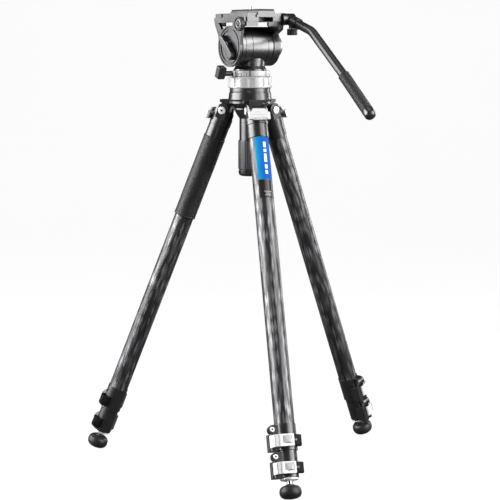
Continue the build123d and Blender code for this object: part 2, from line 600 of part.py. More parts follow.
def drag_knob():
    knob = x_cylinder(DRAG_KNOB_R, HUB_ENDS[1] + 0.3, DRAG_KNOB_END, 0, TILT_HEIGHT)
    knob = round_edges(knob, knob.edges().filter_by(GeomType.CIRCLE), 1.5)
    for i in range(24):
        groove = Rot(i * 15.0, 0, 0) * Pos(0, 0, DRAG_KNOB_R + 0.4) * x_cylinder(0.9, 43.0, 51.0)
        knob -= Pos(0, 0, TILT_HEIGHT) * groove
    return knob


# ---- pan arm: everything lies in the plane x = ARM_X ----
def rod(start, end, radius, overshoot=0.0):
    """A round rod between two (y, z) points of the arm's plane, longer at its end by overshoot."""
    dy, dz = end[0] - start[0], end[1] - start[1]
    length = hypot(dy, dz)
    along = Plane(origin=(ARM_X, start[0], start[1]), z_dir=(0, dy, dz))
    return along * (Pos(0, 0, (length + overshoot) / 2) * Cylinder(radius, length + overshoot))


def between(start, end, part):
    return tuple(a + (b - a) * part for a, b in zip(start, end))


def arm_socket():
    low = PLATFORM_X[1] + 1.3
    stem_y = ARM_PIVOT[0] - ARM_KNOB_OFFSET
    barrel = x_cylinder(9.5, low, ARM_X + 8.5, *ARM_PIVOT)
    barrel = round_edges(barrel, barrel.edges().filter_by(GeomType.CIRCLE), 1.0)
    holder = rod(ARM_PIVOT, between(ARM_PIVOT, ARM_BEND, 0.42), ARM_TUBE_R + 2.0)
    neck = Pos(ARM_X, stem_y, 0) * cylinder(5.5, ARM_KNOB[1] + 0.3, ARM_PIVOT[1] - 3)
    socket = barrel + holder + neck
    socket -= rod(between(ARM_PIVOT, ARM_BEND, 0.12), ARM_BEND, ARM_TUBE_R)
    return socket - x_cylinder(ARM_PIN_R + RUNNING_GAP, PLATFORM_X[1], ARM_X - 2.0, *ARM_PIVOT)


def arm_pivot_pin():
    return x_cylinder(ARM_PIN_R, PLATFORM_X[1] - 7, ARM_X - 2.2, *ARM_PIVOT)


def pan_arm():
    start = between(ARM_PIVOT, ARM_BEND, 0.12)
    inner = between(ARM_BEND, ARM_GRIP_START, 1.25)
    path = FilletPolyline((ARM_X, *start), (ARM_X, *ARM_BEND), (ARM_X, *inner), radius=40.0)
    section = Plane(origin=path @ 0, z_dir=path % 0) * Circle(ARM_TUBE_R)
    return sweep(section, path=path)


def arm_grip():
    grip = rod(ARM_GRIP_START, ARM_GRIP_END, ARM_GRIP_R, 9.0)
    ends = grip.edges().filter_by(GeomType.CIRCLE).sort_by(Axis.Y)
    grip = fillet(ends[0], 6.5)
    grip = fillet(grip.edges().filter_by(GeomType.CIRCLE).sort_by(Axis.Y)[-1], 1.5)
    return grip - rod(ARM_BEND, between(ARM_BEND, ARM_GRIP_START, 1.25), ARM_TUBE_R)


def arm_knob():
    low, high = ARM_KNOB
    knob = cylinder(ARM_KNOB_R, low, high)
    knob = round_edges(knob, knob.edges().filter_by(GeomType.CIRCLE), 1.2)
    for i in range(ARM_KNOB_GROOVES):
        groove = Pos(ARM_KNOB_R + 0.4, 0, 0) * cylinder(1.1, low + 1.5, high - 1.5)
        knob -= Rot(0, 0, i * 360.0 / ARM_KNOB_GROOVES) * groove
    return Pos(ARM_X, ARM_PIVOT[0] - ARM_KNOB_OFFSET, 0) * knob


def all_nodes():
    column = {
        "spider": spider(),
        "hinge_pins": hinge_pins(),
        "friction_liner": friction_liner(),
        "half_ball": half_ball(),
        "clamp_cup": clamp_cup(),
        "clamp_screw": clamp_screw(),
        "level_handle": level_handle(),
        "scallop_ring": scallop_ring(),
        "pan_spindle": pan_spindle(),
        "pan_clamp_ring": pan_clamp_ring(),
        "pan_knob": pan_knob(),
        "head_body": head_body(),
        "tilt_axle": tilt_axle(),
        "tilt_cradle": tilt_cradle(),
        "tilt_lever": tilt_lever(),
        "drag_knob": drag_knob(),
        "plate_jaw": plate_jaw(),
        "plate_knob": plate_knob(),
        "quick_plate": quick_plate(),
        "plate_pad": plate_pad(),
        "camera_screw": camera_screw(),
        "arm_pivot_pin": arm_pivot_pin(),
        "arm_socket": arm_socket(),
        "pan_arm": pan_arm(),
        "arm_grip": arm_grip(),
        "arm_knob": arm_knob(),
    }
    nodes = {name: Pos(0, 0, COLUMN_DATUM) * piece for name, piece in column.items()}
    for name in LEG_AZIMUTHS:
        nodes.update(leg_nodes(name))
    return nodes


os.makedirs("parts", exist_ok=True)
for node, shape in all_nodes().items():
    shape.label = node
    export_step(shape, f"parts/{node}.step")
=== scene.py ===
import json
import math

import bmesh
import bpy
from mathutils import Matrix, Vector


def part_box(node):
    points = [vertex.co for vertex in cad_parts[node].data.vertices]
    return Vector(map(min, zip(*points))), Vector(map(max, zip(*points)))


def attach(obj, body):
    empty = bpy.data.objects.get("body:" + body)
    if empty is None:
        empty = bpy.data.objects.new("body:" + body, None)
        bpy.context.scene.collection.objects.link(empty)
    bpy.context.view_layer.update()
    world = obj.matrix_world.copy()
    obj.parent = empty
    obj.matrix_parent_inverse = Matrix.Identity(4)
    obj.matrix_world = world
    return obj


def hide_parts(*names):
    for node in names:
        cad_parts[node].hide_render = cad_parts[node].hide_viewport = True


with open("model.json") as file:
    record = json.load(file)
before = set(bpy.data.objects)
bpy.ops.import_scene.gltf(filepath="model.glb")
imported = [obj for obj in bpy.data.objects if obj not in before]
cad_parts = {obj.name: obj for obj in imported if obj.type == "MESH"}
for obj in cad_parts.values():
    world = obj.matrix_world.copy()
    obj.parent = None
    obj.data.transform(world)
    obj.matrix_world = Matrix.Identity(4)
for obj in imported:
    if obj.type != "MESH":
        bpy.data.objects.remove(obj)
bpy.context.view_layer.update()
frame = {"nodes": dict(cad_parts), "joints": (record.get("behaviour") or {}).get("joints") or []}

NODES = frame["nodes"]
JOINTS = {joint["name"]: joint for joint in frame["joints"]}
LEGS = ("near", "right", "left")
MM = 0.001

UPPER_TUBE_R = 16.0 * MM
LEVER_STANDOFF = 5.0 * MM  # from the collar of a lock to the outer face of its lever
TAB_GAP = 0.45 * MM
TAB_ROOT = 6.6 * MM
TAB_TIP = 2.0 * MM
TAB_TRIM = 0.8 * MM
TAB_ARC_STEPS = 12
# Span and steps of the painted shadow crescent at the foot of each lever recess.
RECESS_SHADOW_SPAN = (-5.6 * MM, 4.8 * MM)
RECESS_SHADOW_STEPS = 10
CLAMP_BOLT_SEAT = 8.65 * MM
CLAMP_BOLT_REACH = 5.5 * MM
CLAMP_BOLT_DROP = 8.2 * MM
LABEL_LENGTH = 72.0 * MM
LABEL_MIDDLE = math.radians(17.0)
LABEL_HALF = math.radians(54.0)


# ---------------------------------------------------------------- frames
def leg_matrix(leg):
    """The leg's own frame: +X outward, -Z down the leg, its origin on the fold hinge."""
    out = Vector(JOINTS[f"angle_latch_slide_{leg}"]["axis"]).normalized()
    up = -Vector(JOINTS[f"middle_slide_{leg}"]["axis"]).normalized()
    side = up.cross(out)
    turn = Matrix((out, side, up)).transposed().to_4x4()
    return Matrix.Translation(Vector(JOINTS[f"leg_fold_{leg}"]["pos_m"])) @ turn


def axis_matrix(origin, along, towards):
    """A frame with +Z along one direction and +X as near as it can be to another."""
    z = Vector(along).normalized()
    x = (Vector(towards) - z * Vector(towards).dot(z)).normalized()
    turn = Matrix((x, z.cross(x), z)).transposed().to_4x4()
    return Matrix.Translation(Vector(origin)) @ turn


def joint_matrix(name, towards=(0, 0, 1)):
    joint = JOINTS[name]
    return axis_matrix(joint["pos_m"], joint["axis"], towards)


LEG_FRAMES = {leg: leg_matrix(leg) for leg in LEGS}


def stations(node, leg):
    """How far along its leg a node starts and ends, from the hinge, in metres."""
    inverse = LEG_FRAMES[leg].inverted()
    heights = [-(inverse @ v.co).z for v in NODES[node].data.vertices]
    return min(heights), max(heights)


# ---------------------------------------------------------------- node graphs
class Graph:
    """A material and short ways to add nodes to it."""

    def __init__(self, name):
        self.material = bpy.data.materials.new(name)
        self.material.use_nodes = True
        self.tree = self.material.node_tree
        self.surface = self.tree.nodes["Principled BSDF"]

    def add(self, kind, settings=None, **inputs):
        node = self.tree.nodes.new("ShaderNode" + kind)
        for key, value in (settings or {}).items():
            setattr(node, key, value)
        for key, value in inputs.items():
            self.put(node, key.replace("_", " "), value)
        return node

    def put(self, node, key, value):
        socket = node.inputs[int(key)] if key.isdigit() else node.inputs[key]
        if isinstance(value, bpy.types.NodeSocket):
            self.tree.links.new(value, socket)
        else:
            socket.default_value = value

    def set(self, **inputs):
        for key, value in inputs.items():
            self.put(self.surface, key.replace("_", " "), value)

    def math(self, operation, a, b=0.0, c=0.0):
        node = self.tree.nodes.new("ShaderNodeMath")
        node.operation = operation
        for i, value in enumerate((a, b, c)):
            self.put(node, str(i), value)
        return node.outputs[0]

    def ramp(self, value, low, high, to_low=0.0, to_high=1.0):
        node = self.add("MapRange", {"clamp": True})
        for i, item in enumerate((value, low, high, to_low, to_high)):
            self.put(node, str(i), item)
        return node.outputs[0]

    def mix(self, factor, a, b):
        node = self.add("Mix", {"data_type": "RGBA"})
        for i, value in ((0, factor), (6, a), (7, b)):
            self.put(node, str(i), value)
        return node.outputs[2]

    def noise(self, vector, scale, detail=3.0, rough=0.55):
        node = self.add("TexNoise", None, Vector=vector, Scale=scale, Detail=detail, Roughness=rough)
        return node.outputs[0]

    def bump(self, height, strength, distance, normal=None):
        node = self.add("Bump", None, Height=height, Strength=strength, Distance=distance)
        if normal is not None:
            self.put(node, "Normal", normal)
        return node.outputs[0]

    def local(self, matrix=None):
        """Object coordinates in metres, seen in the given frame."""
        coordinates = self.add("TexCoord").outputs["Object"]
        if matrix is None:
            return coordinates
        node = self.add("Mapping", {"vector_type": "TEXTURE"}, Vector=coordinates)
        node.inputs["Location"].default_value = matrix.translation
        node.inputs["Rotation"].default_value = matrix.to_euler("XYZ")
        return node.outputs[0]

    def polar(self, vector):
        """Angle in turns about the frame's Z, and the height along it."""
        split = self.add("SeparateXYZ", None, Vector=vector)
        turns = self.math("DIVIDE", self.math("ARCTAN2", split.outputs[1], split.outputs[0]), 2 * math.pi)
        return turns, split.outputs[2]

    def stretched(self, vector, scale):
        return self.add("VectorMath", {"operation": "MULTIPLY"}, **{"0": vector, "1": scale}).outputs[0]

    def edges(self, radius):
        """1 on sharp edges, 0 on flat faces."""
        bevel = self.add("Bevel", {"samples": 4}, Radius=radius).outputs[0]
        normal = self.add("NewGeometry").outputs["Normal"]
        dot = self.add("VectorMath", {"operation": "DOT_PRODUCT"}, **{"0": bevel, "1": normal})
        return self.ramp(dot.outputs["Value"], 0.995, 0.9)


def grey(value, tint=0.0):
    return (value, value, value * (1.0 + tint), 1.0)


# ---------------------------------------------------------------- materials
def coated_metal(name, base, roughness, metallic=0.0, coat=0.0, grain=1400.0, grain_depth=0.25, wear=0.35,
                 patchy=0.2):
    """Painted or anodised metal: fine grain, patchy gloss, brighter worn edges."""
    g = Graph(name)
    at = g.local()
    patches = g.noise(at, 38.0, 4.0)
    fine = g.noise(at, grain, 2.0)
    edge = g.math("MULTIPLY", g.edges(0.0005), g.ramp(g.noise(at, 160.0, 5.0), 0.42, 0.62))
    tone = g.mix(g.ramp(patches, 0.3, 0.7), grey(base * (1.0 - patchy)), grey(base * (1.0 + patchy), 0.05))
    g.set(Base_Color=g.mix(g.math("MULTIPLY", edge, wear), tone, grey(0.42)))
    spread = g.ramp(patches, 0.3, 0.7, roughness * (1.0 - 0.7 * patchy), roughness * (1.0 + patchy))
    g.set(Roughness=g.math("ADD", spread, g.math("MULTIPLY", g.ramp(fine, 0.3, 0.7), 0.06)))
    g.set(Metallic=metallic, Coat_Weight=coat, Coat_Roughness=0.26)
    g.set(Normal=g.bump(fine, grain_depth, 0.00006))
    return g.material


def machined(name, base, roughness, along, pitch=0.00035, depth=0.35, metallic=0.55):
    """Turned aluminium: fine rings across the turning axis, streaks of tone and soft handling marks."""
    g = Graph(name)
    at = g.local(along)
    split = g.add("SeparateXYZ", None, Vector=at)
    radius = g.add("VectorMath", {"operation": "LENGTH"}, **{"0": g.stretched(at, (1, 1, 0))})
    travel = g.math("ADD", split.outputs[2], radius.outputs["Value"])
    rings = g.math("SINE", g.math("MULTIPLY", travel, 2 * math.pi / pitch))
    streaks = g.noise(g.stretched(at, (20, 20, 2500)), 1.0, 2.0)
    marks = g.noise(at, 120.0, 6.0, 0.7)
    tone = g.mix(g.ramp(streaks, 0.35, 0.65), grey(base * 0.9), grey(base, 0.02))
    g.set(Base_Color=g.mix(g.ramp(marks, 0.62, 0.75, 0.0, 0.35), tone, grey(base * 0.6)))
    g.set(Metallic=metallic, Roughness=g.ramp(marks, 0.35, 0.7, roughness * 0.8, roughness * 1.3))
    g.set(Normal=g.bump(g.math("ADD", rings, g.math("MULTIPLY", streaks, 2.0)), depth, 0.000012))
    return g.material


def carbon(name, matrix):
    """A wound carbon tube: long, steep diamonds of light and dark fibre under a clear coat."""
    g = Graph(name)
    at = g.local(matrix)
    turns, height = g.polar(at)
    bands, pitch = 24.0, 0.6
    drift = g.noise(g.stretched(at, (60, 60, 14)), 1.0, 2.0)
    warp = g.math("MULTIPLY", g.math("SUBTRACT", drift, 0.5), 1.6)
    rise = g.math("DIVIDE", height, pitch)
    right = g.math("ADD", g.math("MULTIPLY", g.math("ADD", turns, rise), bands), warp)
    left = g.math("SUBTRACT", g.math("MULTIPLY", g.math("SUBTRACT", turns, rise), bands), warp)
    cell = g.add("CombineXYZ", None, X=g.math("FLOOR", right), Y=g.math("FLOOR", left)).outputs[0]
    chance = g.add("TexWhiteNoise", {"noise_dimensions": "2D"}, Vector=cell).outputs["Value"]
    parity = g.math("PINGPONG", g.math("ADD", g.math("FLOOR", right), g.math("FLOOR", left)), 1.0)
    fibre = g.noise(g.stretched(at, (1500, 1500, 70)), 1.0, 3.0, 0.7)
    streak = g.noise(g.stretched(at, (170, 170, 9)), 1.0, 3.0, 0.6)
    light = g.math("MULTIPLY", g.ramp(parity, 0.0, 1.0, 0.35, 1.0), g.ramp(chance, 0.25, 0.95))
    light = g.math("MULTIPLY", g.math("ADD", light, 0.1), g.ramp(streak, 0.3, 0.65, 0.35, 1.3))
    light = g.math("MULTIPLY", light, g.ramp(fibre, 0.3, 0.7, 0.7, 1.2))
    g.set(Base_Color=g.mix(light, grey(0.004, 0.12), grey(0.19, 0.05)), Metallic=0.55)
    g.set(Roughness=g.ramp(fibre, 0.2, 0.8, 0.34, 0.5))
    edge = g.math("MINIMUM", g.math("PINGPONG", right, 0.5), g.math("PINGPONG", left, 0.5))
    weave = g.math("ADD", g.ramp(edge, 0.0, 0.2), g.math("MULTIPLY", fibre, 0.3))
    g.set(Normal=g.bump(weave, 0.3, 0.0002), Coat_Weight=0.3, Coat_Roughness=0.22)
    g.set(Coat_Normal=g.bump(g.noise(at, 90.0, 1.0), 0.06, 0.0004))
    return g.material


def rubber(name, base, roughness, matrix=None, cell=0.0, depth=0.5):
    """Moulded rubber: dusty tone, tiny pores and, with a cell size, a fine crossed texture."""
    g = Graph(name)
    at = g.local(matrix)
    dust = g.noise(at, 60.0, 6.0, 0.65)
    pores = g.noise(at, 2200.0, 2.0)
    g.set(Base_Color=g.mix(g.ramp(dust, 0.35, 0.75), grey(base * 0.8), grey(base * 1.7)))
    g.set(Roughness=g.ramp(dust, 0.3, 0.7, roughness * 0.88, min(1.0, roughness * 1.1)))
    g.set(Specular_IOR_Level=0.4, Sheen_Weight=0.04, Sheen_Roughness=0.5)
    height = pores
    if cell:
        split = g.add("SeparateXYZ", None, Vector=at)
        size = 2 * math.pi / cell
        waves = [g.math("SINE", g.math("MULTIPLY", split.outputs[i], size)) for i in range(3)]
        height = g.math("ADD", pores, g.math("MULTIPLY", g.math("MULTIPLY", waves[2], g.math(
            "ADD", waves[0], waves[1])), 0.6))
    g.set(Normal=g.bump(height, depth, 0.00012))
    return g.material


def plastic(name, base, roughness=0.5, texture=900.0, gloss=0.3):
    """Moulded plastic with a spark-eroded skin."""
    g = Graph(name)
    at = g.local()
    skin = g.add("TexVoronoi", None, Vector=at, Scale=texture).outputs[0]
    tone = g.noise(at, 70.0, 3.0)
    g.set(Base_Color=g.mix(g.ramp(tone, 0.3, 0.7), base, tuple(c * 1.3 for c in base[:3]) + (1.0,)))
    g.set(Roughness=g.ramp(tone, 0.3, 0.7, roughness * 0.9, roughness * 1.12), Specular_IOR_Level=gloss)
    g.set(Normal=g.bump(skin, 0.25, 0.00008))
    return g.material


def printed_label(name):
    """A satin azure sticker with painted shading: brighter on the viewer's left and deeper on the right."""
    g = Graph(name)
    at = g.local(LEG_FRAMES["near"])
    turns = g.polar(at)[0]
    cloud = g.noise(at, 45.0, 2.0)
    # Painted shading: the blue runs from bright on the viewer's left to deep on the right round the tube, with a
    # little random cloud.
    sweep = g.math("ADD", g.math("MULTIPLY", turns, 2.6), g.math("MULTIPLY", cloud, 0.25))
    left = g.mix(g.ramp(sweep, -0.12, 0.16), (0.0, 0.24, 0.5, 1), (0.001, 0.11, 0.42, 1))
    g.set(Base_Color=g.mix(g.ramp(sweep, 0.2, 0.62), left, (0.0, 0.055, 0.32, 1)))
    g.set(Roughness=g.ramp(cloud, 0.3, 0.7, 0.6, 0.7), Specular_IOR_Level=0.12)
    g.set(Normal=g.bump(g.noise(at, 1500.0, 2.0), 0.1, 0.00005))
    return g.material


def build_materials():
    upright = Matrix.Identity(4)
    tilt_axis = joint_matrix("tilt")
    made = {
        "gloss_black": coated_metal("gloss_black", 0.008, 0.3, coat=0.6, grain=900.0, grain_depth=0.1, wear=0.25),
        "satin_black": coated_metal("satin_black", 0.085, 0.3, metallic=0.95, grain=2600.0, grain_depth=0.3,
                                    wear=0.3),
        "drum_black": coated_metal("drum_black", 0.12, 0.26, metallic=1.0, grain=2600.0, grain_depth=0.12,
                                   wear=0.1, patchy=0.05),
        "handle_black": coated_metal("handle_black", 0.03, 0.3, metallic=0.7, grain=2400.0, wear=0.1,
                                     patchy=0.1),
        "arm_black": coated_metal("arm_black", 0.05, 0.3, metallic=0.8, grain=1800.0, wear=0.2),
        "silver_turned": machined("silver_turned", 0.46, 0.4, upright, metallic=0.3),
        "knob_ring": machined("knob_ring", 0.13, 0.3, tilt_axis, metallic=0.9),
        "silver_knob": machined("silver_knob", 0.3, 0.34, tilt_axis, metallic=0.7),
        "steel": machined("steel", 0.6, 0.2, upright, pitch=0.0006, metallic=1.0),
        "lever_shade": machined("lever_shade", 0.5, 0.4, upright, pitch=0.0011, metallic=0.3),
        "knob_plastic": plastic("knob_plastic", grey(0.006), 0.42, gloss=0.4),
        "tab_plastic": plastic("tab_plastic", grey(0.004), 0.45, 700.0, 0.1),
        "liner_plastic": plastic("liner_plastic", grey(0.6), 0.45),
        "foot_rubber": rubber("foot_rubber", 0.006, 0.46),
        "grip_rubber": rubber("grip_rubber", 0.009, 0.5, joint_matrix("arm_swing"), 0.0016, 0.7),
        "pad_rubber": rubber("pad_rubber", 0.012, 0.7),
        "label": printed_label("label"),
        "white_ink": plastic("white_ink", grey(0.85), 0.35),
        "grey_ink": plastic("grey_ink", grey(0.4), 0.4),
        # Dark ink for the real seams and scale marks, also used for painted shadows: the crescent in each lever
        # recess and the latch step lines.
        "dark_ink_and_shade": plastic("dark_ink_and_shade", grey(0.03), 0.5),
        "band_film": plastic("band_film", grey(0.012), 0.3, 1500.0),
    }
    for leg in LEGS:
        matrix = LEG_FRAMES[leg]
        made[f"carbon_{leg}"] = carbon(f"carbon_{leg}", matrix)
        made[f"silver_{leg}"] = machined(f"silver_{leg}", 0.86, 0.34, matrix, pitch=0.0008, depth=0.15,
                                         metallic=0.3)
        # The latch silver is a darker copy of the lever silver: painted shade that offsets the stronger light the
        # latch gets.
        made[f"latch_{leg}"] = machined(f"latch_{leg}", 0.62, 0.32, matrix, pitch=0.0008, depth=0.2)
        made[f"stud_{leg}"] = machined(f"stud_{leg}", 0.5, 0.16, matrix, pitch=0.0012, depth=0.1,
                                       metallic=1.0)
    made["sleeve_rubber"] = rubber("sleeve_rubber", 0.007, 0.5, LEG_FRAMES["left"], 0.0024, 0.9)
    return made


MATERIALS = build_materials()


def paint(obj, name):
    obj.data.materials.clear()
    obj.data.materials.append(MATERIALS[name])
    return obj


# ---------------------------------------------------------------- mesh helpers
def make_object(name, bm, matrix=None):
    if matrix is not None:
        bmesh.ops.transform(bm, matrix=matrix, verts=bm.verts)
    bmesh.ops.recalc_face_normals(bm, faces=bm.faces)
    mesh = bpy.data.meshes.new(name)
    bm.to_mesh(mesh)
    bm.free()
    for polygon in mesh.polygons:
        polygon.use_smooth = True
    obj = bpy.data.objects.new(name, mesh)
    bpy.context.scene.collection.objects.link(obj)
    return obj


def piece(name, bm, matrix, body, material, replaces=(), smooth_angle=35.0):
    """A finished piece of the object, riding on its CAD body."""
    obj = make_object(name, bm, matrix)
    obj.data.set_sharp_from_angle(angle=math.radians(smooth_angle))
    paint(obj, material)
    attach(obj, body)
    if replaces:
        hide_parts(*replaces)
    return obj


def lathe(profile, segments=64, shape=None):
    """A closed solid of revolution about Z from (radius, height) points, optionally reshaped by angle."""
    bm = bmesh.new()
    rings = []
    for radius, height in profile:
        if radius < 1e-7:
            rings.append([bm.verts.new((0, 0, height))])
            continue
        ring = []
        for i in range(segments):
            angle = 2 * math.pi * i / segments
            r = shape(radius, height, angle) if shape else radius
            ring.append(bm.verts.new((r * math.cos(angle), r * math.sin(angle), height)))
        rings.append(ring)
    closed = len(rings[0]) > 1
    pairs = list(zip(rings, rings[1:] + (rings[:1] if closed else [])))
    for low, high in pairs[:len(rings) if closed else len(rings) - 1]:
        for i in range(segments):
            j = (i + 1) % segments
            corners = [low[i % len(low)], low[j % len(low)], high[j % len(high)], high[i % len(high)]]
            unique = list(dict.fromkeys(corners))
            if len(unique) > 2:
                bm.faces.new(unique)
    return bm


def rounded_box(size, radius, centre=(0, 0, 0), segments=3):
    """A box with rounded edges."""
    bm = bmesh.new()
    bmesh.ops.create_cube(bm, size=1.0)
    bmesh.ops.scale(bm, vec=size, verts=bm.verts)
    bmesh.ops.bevel(bm, geom=bm.edges[:], offset=radius, segments=segments, profile=0.5, affect="EDGES")
    bmesh.ops.translate(bm, vec=centre, verts=bm.verts)
    return bm


def curved_sheet(radius, thickness, angles, heights, columns=24, rows=12):
    """A closed, thin sheet wrapped round Z between two angles and two heights."""
    bm = bmesh.new()
    layers = []
    for r in (radius, radius + thickness):
        grid = []
        for j in range(rows + 1):
            z = heights[0] + (heights[1] - heights[0]) * j / rows
            line = []
            for i in range(columns + 1):
                a = angles[0] + (angles[1] - angles[0]) * i / columns
                line.append(bm.verts.new((r * math.cos(a), r * math.sin(a), z)))
            grid.append(line)
        layers.append(grid)
    for grid in layers:
        for j in range(rows):
            for i in range(columns):
                bm.faces.new((grid[j][i], grid[j][i + 1], grid[j + 1][i + 1], grid[j + 1][i]))
    inner, outer = layers
    border = [(0, i) for i in range(columns)] + [(j, columns) for j in range(rows)]
    border += [(rows, i) for i in range(columns, 0, -1)] + [(j, 0) for j in range(rows, 0, -1)]
    for (j, i), (k, n) in zip(border, border[1:] + border[:1]):
        bm.faces.new((inner[j][i], inner[k][n], outer[k][n], outer[j][i]))
    return bm


def merge(*meshes):
    """One bmesh from several."""
    joined = bmesh.new()
    for bm in meshes:
        mesh = bpy.data.meshes.new("joining")
        bm.to_mesh(mesh)
        bm.free()
        joined.from_mesh(mesh)
        bpy.data.meshes.remove(mesh)
    return joined


# ---------------------------------------------------------------- CAD nodes that stay
def finish_cad_nodes():
    finishes = {
        "gloss_black": ["spider", "clamp_cup"],
        "satin_black": ["half_ball", "level_handle", "tilt_cradle", "plate_jaw", "quick_plate",
                        "tilt_lever"],
        "drum_black": ["head_body"],
        "arm_black": ["pan_arm", "arm_socket"],
        "silver_turned": ["scallop_ring", "pan_clamp_ring"],
        "silver_knob": ["drag_knob"],
        "steel": ["hinge_pins", "clamp_screw", "pan_spindle", "tilt_axle", "camera_screw", "arm_pivot_pin"],
        "knob_plastic": ["pan_knob", "plate_knob", "arm_knob"],
        "liner_plastic": ["friction_liner"],
        "pad_rubber": ["plate_pad"],
        "grip_rubber": ["arm_grip"],
        "sleeve_rubber": ["leg_sleeve"],
    }
    for leg in LEGS:
        castings = ("leg_crown", "leg_collar", "upper_lock", "lower_lock")
        finishes["gloss_black"] += [f"{n}_{leg}" for n in castings]
        finishes[f"silver_{leg}"] = [f"{n}_lever_{leg}" for n in ("upper", "lower")]
        finishes[f"latch_{leg}"] = [f"angle_latch_{leg}"]
        finishes[f"carbon_{leg}"] = [f"{n}_{leg}" for n in ("upper_tube", "middle_tube", "lower_tube")]
        finishes["foot_rubber"] = finishes.get("foot_rubber", []) + [f"foot_{leg}"]
    for material, nodes in finishes.items():
        for node in nodes:
            paint(NODES[node], material)


finish_cad_nodes()


# ---------------------------------------------------------------- pieces on the legs
def local_box(node, matrix):
    """Lowest and highest corner of a CAD node, seen in a frame."""
    inverse = matrix.inverted()
    points = [inverse @ v.co for v in NODES[node].data.vertices]
    return (Vector([min(p[i] for p in points) for i in range(3)]),
            Vector([max(p[i] for p in points) for i in range(3)]))


def socket_screw(radius, head):
    """A cap screw with a hexagonal socket, its head standing on z = 0."""
    socket = radius * 0.42
    outer = lathe([(radius * 0.25, 0.0), (radius, 0.0), (radius, head * 0.78), (radius * 0.86, head),
                   (socket, head), (socket * 0.98, head * 0.35), (radius * 0.25, head * 0.3)], 36)
    for vert in outer.verts:
        r = math.hypot(vert.co.x, vert.co.y)
        if abs(r - socket) < radius * 0.03:
            sector = math.radians(60)
            angle = math.atan2(vert.co.y, vert.co.x) % sector - sector / 2
            scale = math.cos(sector / 2) / math.cos(angle)
            vert.co.x *= scale
            vert.co.y *= scale
    return outer


def facing(matrix, point, direction):
    """A frame at a point of another frame, its +Z along one of that frame's directions."""
    along = matrix.to_3x3() @ Vector(direction)
    towards = matrix.to_3x3() @ Vector((direction[1], direction[2], direction[0]))
    return axis_matrix(matrix @ Vector(point), along, towards)


def extruded(outline, low, high, rounding=0.0):
    """A prism along Z over an outline of (x, y) points, its edges rounded."""
    bm = bmesh.new()
    rings = [[bm.verts.new((x, y, z)) for x, y in outline] for z in (low, high)]
    bm.faces.new(rings[0])
    bm.faces.new(rings[1])
    for i in range(len(outline)):
        j = (i + 1) % len(outline)
        bm.faces.new((rings[0][i], rings[0][j], rings[1][j], rings[1][i]))
    if rounding:
        ends = [e for e in bm.edges if abs(e.verts[0].co.z - e.verts[1].co.z) < 1e-9]
        bmesh.ops.bevel(bm, geom=ends, offset=rounding, segments=2, profile=0.5, affect="EDGES")
    return bm


def lever_frame(level, leg):
    """The leg's frame, and the lever's outer face, lowest and highest station in it."""
    low, high = local_box(f"{level}_lever_{leg}", LEG_FRAMES[leg])
    return LEG_FRAMES[leg], high.x, low.z, high.z


def build_lever_tab(level, leg):
    """The black thumb tab of a flip lever, hollowed to lie over its collar, with three raised marks."""
    matrix, face, bottom, top = lever_frame(level, leg)
    inner = face - LEVER_STANDOFF + TAB_GAP
    outline = [(face - 1.7 * MM, TAB_ROOT), (face - 1.9 * MM, 12.0 * MM), (face - 3.2 * MM, 15.6 * MM),
               (face - 8.4 * MM, 21.6 * MM), (5.0 * MM, 22.4 * MM), (TAB_TIP, 22.0 * MM)]
    start, end = math.acos(TAB_TIP / inner), math.asin(TAB_ROOT / inner)
    for i in range(TAB_ARC_STEPS + 1):
        angle = start + (end - start) * i / TAB_ARC_STEPS
        outline.append((inner * math.cos(angle), inner * math.sin(angle)))
    tab = extruded(outline, bottom + TAB_TRIM, top - TAB_TRIM, 0.4 * MM)
    body = f"{level}_flip_{leg}"
    piece(f"lever_tab_{level}_{leg}", tab, matrix, body, "tab_plastic")
    marks = []
    for i, height in enumerate((3.4, 2.2, 3.4)):
        centre = (face - 1.8 * MM, (8.6 + 1.6 * i) * MM, (bottom + top) / 2)
        marks.append(rounded_box((0.5 * MM, 0.7 * MM, height * MM), 0.2 * MM, centre, 2))
    piece(f"lever_marks_{level}_{leg}", merge(*marks), matrix, body, "grey_ink")


